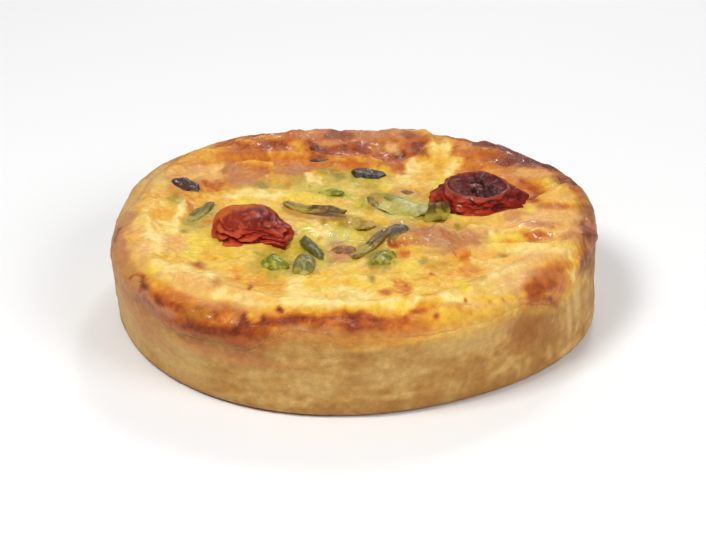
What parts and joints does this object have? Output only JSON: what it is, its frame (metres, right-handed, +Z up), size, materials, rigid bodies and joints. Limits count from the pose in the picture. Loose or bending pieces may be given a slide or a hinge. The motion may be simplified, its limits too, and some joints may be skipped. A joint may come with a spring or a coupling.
{
  "type": "individual quiche",
  "caption": "Straight-sided individual quiche in a shortcrust case, with browned custard, roasted tomato halves and chopped vegetables on top.",
  "frame": {"origin": "middle of the flat underside of the pastry case", "axes": "+Z up out of the filling, -Y towards the front, where the custard has run down the outside to the left, +X to the right"},
  "size_m": [0.121, 0.1219, 0.0301],
  "materials": {
    "shortcrust": "matte, golden baked shortcrust",
    "custard": "moist egg and cheese custard, browned in patches",
    "roasted_tomato": "glossy wrinkled skin of roasted tomato",
    "charred_vegetable": "dark, charred and slightly oily",
    "green_vegetable": "cooked green skin, slightly oily",
    "olive_vegetable": "cooked olive green vegetable",
    "grey_green_vegetable": "dull grey green cut vegetable",
    "mushroom": "soft brown cooked mushroom"
  },
  "bodies": {
    "root": {"pastry_case": "shortcrust", "custard": "custard", "tomato_left": "roasted_tomato", "tomato_right": "roasted_tomato", "charred_piece_left": "charred_vegetable", "charred_piece_back": "charred_vegetable", "charred_sliver_back": "charred_vegetable", "leaf_sliver_back": "green_vegetable", "bean_stick_front": "green_vegetable", "pepper_piece_front": "green_vegetable", "pepper_piece_right": "green_vegetable", "leek_wedge_middle": "green_vegetable", "bean_strip_front": "green_vegetable", "leek_slice_middle": "olive_vegetable", "leek_chunk_middle": "olive_vegetable", "leek_end_right": "olive_vegetable", "leek_leaf_middle": "olive_vegetable", "leaf_strip_left": "olive_vegetable", "bean_block_front": "grey_green_vegetable", "bean_tip_front": "grey_green_vegetable", "mushroom_piece_front": "mushroom", "mushroom_sliver_back": "mushroom", "leaf_strip_middle": "mushroom"}
  },
  "joints": []
}
